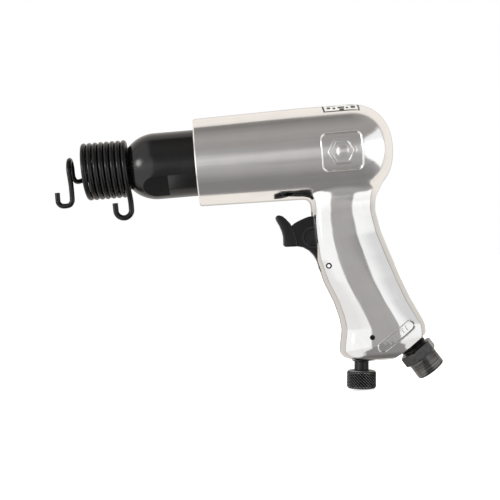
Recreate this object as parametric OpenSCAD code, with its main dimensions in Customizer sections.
// Pneumatic rivet gun: pistol-grip air hammer with a wire retainer and an air regulator.
// +X is the working end, +Z is up, the origin is the middle of the tool socket's mouth. Millimetres.

/* [Barrel] */
// Outside diameter of the barrel
barrel_d = 38.1; // [36:0.1:40]
// Diameter of the nose the retainer is screwed on to
nose_d = 26.9; // [24:0.1:30]
// Distance from the nose's face to the front of the housing
barrel_out = 59; // [50:0.5:75]
// Diameter of the hole for the tool shank
socket_d = 10.3; // [8:0.05:12.9]
// Depth of the hole for the tool shank
socket_depth = 38; // [25:0.5:45]
// Diameter of the bore the piston runs in
cylinder_d = 19.1; // [15:0.05:22]
// Distance across the two wrench flats
wrench_af = 35; // [32:0.5:37]

/* [Housing] */
// Outside diameter of the sleeve at the back
sleeve_d = 52.6; // [50:0.1:56]
// Outside diameter of the sleeve at its front edge
sleeve_front_d = 50.2; // [46:0.1:54]
// Width of the grip across the palm
grip_width = 31; // [26:0.5:36]
// Depth of the square panels on the two sides
panel_depth = 0.7; // [0.3:0.1:1.2]

/* [Trigger] */
// Thickness of the trigger's web
web_width = 12; // [9:0.1:12.4]
// Width of the trigger's finger pad
pad_width = 14; // [12:0.5:18]

/* [Retainer] */
// Thickness of the retainer's wire
wire_d = 2.9; // [2:0.1:3.2]
// Rise of the retainer's coil in one turn
coil_pitch = 3.286; // [3.2:0.01:3.6]

/* [Air inlet] */
// Distance across the inlet bushing's flats
inlet_af = 19; // [17:0.5:22]
// Inside diameter of the inlet's thread
inlet_thread_d = 11.2; // [9:0.1:13]

/* [Regulator] */
// Diameter of the regulator's knob
knob_d = 17.2; // [14:0.1:20]
// Number of grooves around the knob
knurl_count = 36; // [24:2:48]

/* [Hidden] */
$fn = 64;
barrel_r = barrel_d / 2;
nose_r = nose_d / 2;
sleeve_r = sleeve_d / 2;
wire_r = wire_d / 2;
coil_r = nose_r + wire_r + 0.1;
dome_start = -147;
dome_length = 25.3;
web_z = -46;
pivot = [-129.3, 0, -65.3];
hole_gap = 0.05;
steel = [0.10, 0.10, 0.11];
alloy = [0.80, 0.80, 0.80];
bright = [0.62, 0.63, 0.65];
rubber = [0.05, 0.05, 0.05];

// Frames for the two tilted fittings under the grip: local +Z runs outward.
module at_inlet() translate([-173.5, 0, -113.7]) rotate([0, -147, 0]) children();
module at_regulator() translate([-144.4, 0, -122]) rotate([0, 175, 0]) children();
module along_x(x) translate([x, 0, 0]) rotate([0, 90, 0]) children();

function unit(v) = v / norm(v);
function aim(p, i) = unit(p[min(i + 1, len(p) - 1)] - p[max(i - 1, 0)]);
function carry(p, i, n) = i == len(p) ? [] :
    let (t = aim(p, i), m = unit(n - (n * t) * t))
    concat([[p[i], m, cross(t, m)]], carry(p, i + 1, m));

// Closed skin over rings of equal point count.
module skin(rings) {
    n = len(rings[0]);
    k = len(rings);
    points = [for (ring = rings) for (q = ring) q];
    walls = [for (i = [0:k - 2]) for (j = [0:n - 1]) let (a = i * n + j, b = i * n + (j + 1) % n)
        each [[a, b, a + n], [b, b + n, a + n]]];
    last = (k - 1) * n;
    polyhedron(points, concat([for (j = [1:n - 2]) [0, j + 1, j]], walls,
        [for (j = [1:n - 2]) [last, last + j, last + j + 1]]));
}

// Round wire along a list of points.
module wire(path, r, sides = 10) {
    skin([for (f = carry(path, 0, [0.1, 0.2, 1]))
        [for (j = [0:sides - 1]) let (a = -360 * j / sides) f[0] + r * (cos(a) * f[1] + sin(a) * f[2])]]);
}

// Profile of the sleeve and its rounded back, drawn inside the outer surface by inset.
function dome_r(t, inset) = (sleeve_r - inset) * pow(1 - pow(t, 2.3), 1 / 2.3);
module body_round(inset) {
    rotate([0, 90, 0]) rotate([0, 0, 90]) rotate_extrude()
        polygon(concat([[0, -barrel_out], [sleeve_front_d / 2 - 0.5 - inset, -barrel_out],
            [sleeve_front_d / 2 - inset, -barrel_out - 0.5], [sleeve_r - inset, -118]],
            [for (t = [0, 0.15, 0.28, 0.4, 0.5, 0.6, 0.69, 0.77, 0.84, 0.9, 0.945, 0.975, 0.993])
                [dome_r(t, inset), dome_start - (dome_length - inset) * t]],
            [[0, dome_start - dome_length + inset]]));
}

// Front point, back point, half width, and how round the front and the back of each grip section are.
grip_sections = [
    [[-124.5, -10], [-166.5, -10], 12, 0.7, 0.83],
    [[-122.6, -20], [-166.2, -18], 13.4, 0.6, 0.9],
    [[-122.7, -27], [-163.2, -24.5], 14, 0.56, 1],
    [[-122.6, -33], [-160.0, -29.5], 14.2, 0.56, 1],
    [[-122.3, -40], [-159.4, -36], 14.2, 0.56, 1],
    [[-122.4, -50], [-161.6, -48], 14.4, 0.56, 1],
    [[-123.2, -62], [-165.8, -61], 14.9, 0.58, 1],
    [[-126.3, -74.6], [-170.6, -75], 15.3, 0.6, 1],
    [[-131.2, -86.8], [-175.6, -88], 15.5, 0.64, 0.98],
    [[-133.6, -96], [-180, -97], 15.5, 0.7, 0.92],
    [[-134.4, -103], [-182.4, -102.5], 15.5, 0.78, 0.86],
    [[-132.6, -112], [-182.8, -106], 15.5, 0.83, 0.83],
    [[-132.3, -116], [-182.6, -110], 15.4, 0.83, 0.83],
    [[-134.0, -118.6], [-181, -117], 14.4, 0.83, 0.83],
    [[-138.6, -120.6], [-177, -120.6], 12.6, 0.83, 0.83],
    [[-144, -121.6], [-172, -121.6], 9.5, 0.83, 0.83]];
function lobe(v, power) = sign(v) * pow(abs(v), power);
module grip(inset = 0) {
    skin([for (s = grip_sections) let (mid = (s[0] + s[1]) / 2, half = (s[0] - s[1]) / 2,
            long = 1 - inset / norm(half), wide = s[2] * grip_width / 31 - inset)
        [for (j = [0:35]) let (power = cos(10 * j) > 0 ? s[3] : s[4],
                c = lobe(cos(10 * j), power) * long, w = lobe(sin(10 * j), power) * wide)
            [mid[0] + half[0] * c, w, mid[1] + half[1] * c]]]);
}

module square_panel(size, corner, height) {
    linear_extrude(height) {
        square([size, size - 2 * corner], center = true);
        square([size - 2 * corner, size], center = true);
        for (x = [-1, 1], y = [-1, 1])
            translate([x, y] * (size / 2 - corner)) circle(corner);
    }
}

module slot_shape(length, width, height) {
    linear_extrude(height) {
        square([length - width, width], center = true);
        for (s = [-1, 1]) translate([s * (length - width) / 2, 0]) circle(width / 2);
    }
}

// Straight hole between two points on the middle plane.
module passage(a, b, r) {
    v = b - a;
    translate([a[0], 0, a[1]]) rotate([0, atan2(v[0], v[1]), 0]) cylinder(h = norm(v), r = r);
}

module top_wedge(gap) {
    translate([-143.6, 0, 0]) rotate([0, 90, 0]) rotate([0, 0, 180])
        linear_extrude(20.4 - 2 * gap, center = true)
            polygon([[0, 0], [40, -30.1 + gap * 2], [40, 30.1 - gap * 2]]);
}

module housing() {
    color(alloy) difference() {
        union() {
            difference() {
                union() {
                    body_round(0);
                    grip();
                }
                // The face the inlet bushing is screwed into.
                at_inlet() translate([-20, -25, 0]) cube([60, 50, 30]);
                difference() {
                    for (s = [-1, 1]) translate([-141.3, 18 * s, -2.2]) rotate([-90 * s, 0, 0])
                        square_panel(22.2, 3.3, 20);
                    body_round(panel_depth);
                }
                difference() {
                    intersection() {
                        top_wedge(0);
                        translate([-160, -20, 10]) cube([40, 40, 30]);
                    }
                    body_round(0.5);
                }
                difference() {
                    for (s = [-1, 1]) translate([-164.2, 5 * s, -108.3]) rotate([0, 33.8, 0])
                        rotate([-90 * s, 0, 0]) slot_shape(25.5, 5.9, 15);
                    grip(0.6);
                }
            }
            // Plain raised ring inside each square panel.
            intersection() {
                for (s = [-1, 1]) translate([-141.3, 0, -2.2]) rotate([-90 * s, 0, 0])
                    difference() {
                        cylinder(h = 30, r = 7.6);
                        translate([0, 0, -1]) cylinder(h = 32, r = 5.9);
                    }
                body_round(0.25);
            }
        }
        // Bore for the barrel, with a wide front part that lets the used air out forward.
        along_x(-106) cylinder(h = 60, r = barrel_r + 1.45);
        along_x(-150) cylinder(h = 46, r = barrel_r + 1);
        along_x(-158) cylinder(h = 9, r = 15);
        translate([-132.2, -6.5, -65.3]) cube([25, 13, 31.3]);
        translate(pivot) rotate([90, 0, 0]) cylinder(h = 13, r = 5.3, center = true);
        translate(pivot) rotate([90, 0, 0]) cylinder(h = 60, r = 1.7, center = true);
        translate([-157, 0, web_z]) rotate([0, 90, 0]) cylinder(h = 26, r = 6.05);
        passage([-139.5, web_z], [-154, -11], 2.6);
        passage([-150, web_z], [-146, -98], 3);
        passage([-146, -98.6], [-165, -98.6], 3);
        at_inlet() translate([0, 0, -12]) cylinder(h = 20, r = 8);
        at_inlet() translate([0, 0, -18]) cylinder(h = 10, r = 5.6);
        at_regulator() translate([0, 0, -20.4]) cylinder(h = 24, r = 6.35);
        at_regulator() translate([0, 0, -27]) cylinder(h = 10, r = 4.2);
        translate([-150.3, 0, -107.7]) rotate([90, 0, 0]) cylinder(h = 60, r = 1.45, center = true);
    }
}

module barrel() {
    ogive = [for (a = [0:6:42]) [barrel_r - 20.9 + 20.9 * cos(a), -36 + 20.9 * sin(a)]];
    color(steel) difference() {
        rotate([0, 90, 0]) rotate_extrude()
            polygon(concat([[0, -128], [barrel_r + 0.55, -128], [barrel_r + 0.95, -127.6],
                [barrel_r + 0.95, -106.5], [barrel_r, -106]], ogive,
                [[12.2, -20.5], [12.2, -18.6], [nose_r, -18.6], [nose_r, -0.5],
                [nose_r - 0.5, 0], [0, 0]]));
        along_x(-socket_depth) cylinder(h = 60, r = socket_d / 2);
        along_x(-129) cylinder(h = 129 - socket_depth, r = cylinder_d / 2);
        along_x(-0.3) cylinder(h = 0.5, r1 = socket_d / 2, r2 = socket_d / 2 + 0.5);
        for (s = [-1, 1]) rotate([-45, 0, 0])
            translate([-42.7, s * wrench_af / 2 + (s > 0 ? 0 : -20), -30]) cube([23.1, 20, 60]);
        for (a = [45:90:315]) translate([-85, 0, 0]) rotate([a, 0, 0]) cylinder(h = 30, r = 2);
        for (a = [0, 180]) rotate([a, 0, 0]) translate([-129, 14.5, 0]) rotate([0, 90, 0])
            cylinder(h = 7, r = 1.5 + hole_gap);
    }
}

module piston() {
    color(bright) rotate([0, 90, 0]) rotate_extrude()
        polygon([[0, -127.4], [cylinder_d / 2 - 1.3, -127.4], [cylinder_d / 2 - hole_gap, -126.2],
            [cylinder_d / 2 - hole_gap, -98], [cylinder_d / 2 - 1.3, -96.5], [0, -96.2]]);
}

module front_valve_block() {
    color(bright) difference() {
        along_x(-136) cylinder(h = 7.95, r = barrel_r + 0.9);
        along_x(-137) cylinder(h = 3.2, r = 12.1);
        along_x(-137) cylinder(h = 12, r = 4.6);
        for (a = [0, 180]) rotate([a, 0, 0]) translate([-137, 14.5, 0]) rotate([0, 90, 0])
            cylinder(h = 12, r = 1.5 + hole_gap);
        for (a = [90, 270]) rotate([a, 0, 0]) translate([-137, 13.6, 0]) rotate([0, 90, 0])
            cylinder(h = 12, r = 1.1);
    }
}

module rear_valve_block() {
    color(bright) difference() {
        along_x(-149.95) cylinder(h = 13.9, r = barrel_r + 0.9);
        along_x(-151) cylinder(h = 9, r = 7);
        for (a = [45:90:315]) rotate([a, 0, 0]) translate([-143, 8, 0]) rotate([0, 90, 0])
            cylinder(h = 8, r = 1.8);
        for (a = [45:90:315]) rotate([a, 0, 0]) translate([-151, 8, 0]) rotate([0, 90, 0])
            cylinder(h = 9, r = 1.8);
        for (a = [0, 180]) rotate([a, 0, 0]) translate([-143, 14.5, 0]) rotate([0, 90, 0])
            cylinder(h = 8, r = 1.5 + hole_gap);
    }
}

module valve_disc() {
    color(steel) difference() {
        along_x(-135.9) cylinder(h = 1.2, r = 12);
        along_x(-137) cylinder(h = 4, r = 2);
    }
}

module valve_dowel() {
    color(bright) for (a = [0, 180]) rotate([a, 0, 0]) translate([-142.8, 14.5, 0])
        rotate([0, 90, 0]) cylinder(h = 20.5, r = 1.5);
}

module trigger() {
    color(steel) difference() {
        translate([0, web_width / 2, 0]) rotate([90, 0, 0]) union() {
            linear_extrude(web_width) {
                polygon([[-105, -50], [-106.5, -52.6], [-113, -53], [-116.4, -53.8], [-119.6, -56],
                    [-121.9, -58.8], [-123.4, -61.8], [-124.5, -64.5], [-125.4, -68.3], [-133, -68.3],
                    [-133.9, -63.6], [-129.6, -58.6], [-126, -55], [-126, -38], [-125.2, -36.5],
                    [-122.9, -36.2], [-118.7, -36.9], [-115.5, -38], [-112.6, -39.3], [-109.9, -41.2], [-107.5, -41]]);
                translate([pivot[0], pivot[2]]) circle(5);
            }
            translate([0, 0, web_width / 2 - pad_width / 2]) linear_extrude(pad_width)
                polygon([[-101.5, -35], [-102.2, -37.4], [-103.6, -40.2], [-104.8, -43.5], [-105.2, -46.5],
                    [-105.1, -49.5], [-104.9, -51.9], [-106.4, -52.7], [-109.3, -52.8], [-109.7, -47],
                    [-109.6, -42.5], [-108.6, -39.6], [-106.7, -36.8], [-105.2, -34.7], [-103.2, -34.2]]);
            translate([-121.9, -48.5, -0.3]) cylinder(h = web_width + 0.6, r = 4.05);
        }
        translate(pivot) rotate([90, 0, 0]) cylinder(h = 30, r = 1.65 + hole_gap, center = true);
        translate(pivot) rotate([90, 0, 0]) difference() {
            cylinder(h = 30, r = 8, center = true);
            cylinder(h = 31, r = 5, center = true);
            translate([0, 5, 0]) cube([30, 16.5, 40], center = true);
        }
    }
}

module roll_pin(r, length) {
    rotate([90, 0, 0]) difference() {
        cylinder(h = length, r = r, center = true);
        cylinder(h = length + 1, r = r * 0.55, center = true);
    }
}

module trigger_pin() color(bright) translate(pivot) roll_pin(1.65, 25.6);
module regulator_pin() color(bright) translate([-150.3, 0, -107.7]) roll_pin(1.4, 30);

module throttle_bushing() {
    color([0.70, 0.58, 0.30]) translate([-143, 0, web_z]) rotate([0, 90, 0]) difference() {
        cylinder(h = 10.8, r = 6);
        translate([0, 0, -1]) cylinder(h = 14, r = 2.06);
        translate([0, 0, -1]) cylinder(h = 6, r = 3.4);
        translate([0, 0, 7]) cylinder(h = 1.9, r = 3.7);
        translate([0, 0, 3.5]) rotate([90, 0, 0]) cylinder(h = 20, r = 1.4, center = true);
        translate([0, 0, 3.5]) rotate([0, 90, 0]) cylinder(h = 20, r = 1.4, center = true);
        translate([0, 0, 7.2]) difference() {
            cylinder(h = 2, r = 7);
            cylinder(h = 2, r = 4.6);
        }
    }
}

module ring(major, minor) rotate_extrude() translate([major, 0]) circle(minor);

module bushing_seal() color(rubber) translate([-134.8, 0, web_z]) rotate([0, 90, 0]) ring(5.3, 0.68);
module stem_seal() color(rubber) translate([-135.05, 0, web_z]) rotate([0, 90, 0]) ring(2.88, 0.8);
module regulator_seal() color(rubber) at_regulator() translate([0, 0, -7]) ring(5.45, 0.8);

module throttle_valve() {
    color(bright) translate([-149, 0, web_z]) rotate([0, 90, 0]) {
        cylinder(h = 3, r = 1.9);
        translate([0, 0, 2]) cylinder(h = 2.4, r = 4.6);
        cylinder(h = 20.95, r = 2);
        translate([0, 0, 20.95]) sphere(2);
    }
}

module throttle_valve_face() {
    color(rubber) translate([-144.55, 0, web_z]) rotate([0, 90, 0]) difference() {
        cylinder(h = 1.5, r = 4.6);
        translate([0, 0, -1]) cylinder(h = 4, r = 2.02);
    }
}

module throttle_spring() {
    path = [for (i = [0:60]) [-156.4 + 9 * i / 60, 3.4 * cos(30 * i), web_z + 3.4 * sin(30 * i)]];
    color(bright) wire(path, 0.4, 6);
}

module regulator() {
    color(steel) at_regulator() difference() {
        union() {
            rotate_extrude() polygon([[0, -20], [5.6, -20], [6.3, -19.3], [6.3, -16.3], [3.15, -16.3],
                [3.15, -13.2], [6.3, -13.2], [6.3, -8.1], [4.6, -8.1], [4.6, -5.9], [6.3, -5.9],
                [6.3, -2.6], [5.5, -2.2], [5.5, -0.3], [4.65, -0.1], [4.65, 5.2], [knob_d / 2 - 1, 5.2],
                [knob_d / 2, 6.2], [knob_d / 2, 14.6], [knob_d / 2 - 1, 15.6], [0, 15.6]]);
            translate([0, 0, -26]) cylinder(h = 7, r = 4.1);
        }
        translate([0, 0, -23.2]) rotate([0, 90, 0]) cylinder(h = 12, r = 2.2, center = true);
        for (i = [0:knurl_count - 1]) rotate([0, 0, i * 360 / knurl_count])
            translate([knob_d / 2 + 0.25, 0, 5]) rotate([0, 0, 45]) cube([0.9, 0.9, 11]);
    }
}

module inlet_bushing() {
    color(steel) at_inlet() difference() {
        union() {
            translate([0, 0, -11.8]) cylinder(h = 17, r = 7.95);
            intersection() {
                translate([0, 0, 4.2]) rotate([0, 0, 15]) cylinder(h = 6, r = inlet_af / sqrt(3), $fn = 6);
                rotate_extrude() polygon([[0, 4.2], [inlet_af / 2 + 0.4, 4.2], [inlet_af / 2 + 1.5, 4.9],
                    [inlet_af / 2 + 1.5, 9.5], [inlet_af / 2 + 0.4, 10.2], [0, 10.2]]);
            }
            translate([0, 0, 10]) cylinder(h = 9.2, r = 8.7);
            translate([0, 0, 19.2]) cylinder(h = 0.8, r1 = 8.7, r2 = 7.9);
        }
        translate([0, 0, -13]) cylinder(h = 34, r = 4.2);
        translate([0, 0, 8]) cylinder(h = 13, r = inlet_thread_d / 2);
        translate([0, 0, 19]) cylinder(h = 1.1, r1 = inlet_thread_d / 2, r2 = inlet_thread_d / 2 + 1.1);
        translate([0, 0, -13]) cylinder(h = 5, r = 5.4);
    }
}

module inlet_screen() {
    color(bright) at_inlet() translate([0, 0, -8.8]) difference() {
        cylinder(h = 0.7, r = 5.35);
        for (x = [-3:1.5:3], y = [-3:1.5:3]) if (x * x + y * y < 14)
            translate([x, y, -1]) cylinder(h = 3, r = 0.5, $fn = 16);
    }
}

module rating_plate() {
    color(bright) difference() {
        intersection() {
            top_wedge(0.25);
            body_round(0.08);
            translate([-160, -20, 10]) cube([40, 40, 30]);
        }
        body_round(0.48);
    }
}

function turn(a) = [-17.8 + coil_pitch * (a - 90) / 360, coil_r * cos(a), coil_r * sin(a)];
module retainer_coil() {
    tail = [for (a = [0:-20:-180]) [-15.1 - 4.5 * cos(a), 3.2, -23.8 + 4.5 * sin(a)]];
    path = concat([[-10.5, 3.2, -19.5]], [for (i = [len(tail) - 1:-1:0]) tail[i]],
        [[-19.6, 3.5, -20.8], [-19.5, 4.6, -17.6], [-19.3, 7.1, -14.2]],
        [for (a = [-45:10:2695]) turn(a)],
        [[6.1, -14.8, -1.5], [6.4, -14.4, -2.7], [6.95, -14.1, -3.2], [7.6, -14.1, -3.2]]);
    color(steel) wire(path, wire_r);
}

module retainer_latch() {
    arch = [for (a = [180:-20:0]) [14, 6.7 * cos(a), 0.9 + 6.7 * sin(a)]];
    path = concat([[7.75, -14.1, -3.2], [8.5, -14.1, -3.2], [10.5, -13.3, -3.9], [12.2, -11.5, -4.2],
        [13.3, -9.6, -3.5], [13.9, -7.8, -1.9], [14, -6.9, -0.4]], arch,
        [[13.7, 6.65, -3], [13.4, 6.5, -8], [13.4, 6.4, -15.2], [13.8, 6.3, -16.9], [14.8, 6.2, -18.3],
        [16.3, 6.1, -18.8], [18.9, 6, -18.8], [20.4, 6, -18.2], [21.4, 6, -17], [21.7, 6, -15.6],
        [21.7, 6, -11]]);
    color(steel) wire(path, wire_r);
}

housing();
barrel();
piston();
front_valve_block();
rear_valve_block();
valve_disc();
valve_dowel();
trigger();
trigger_pin();
throttle_bushing();
bushing_seal();
stem_seal();
throttle_valve();
throttle_valve_face();
throttle_spring();
regulator();
regulator_seal();
regulator_pin();
inlet_bushing();
inlet_screen();
rating_plate();
retainer_coil();
retainer_latch();
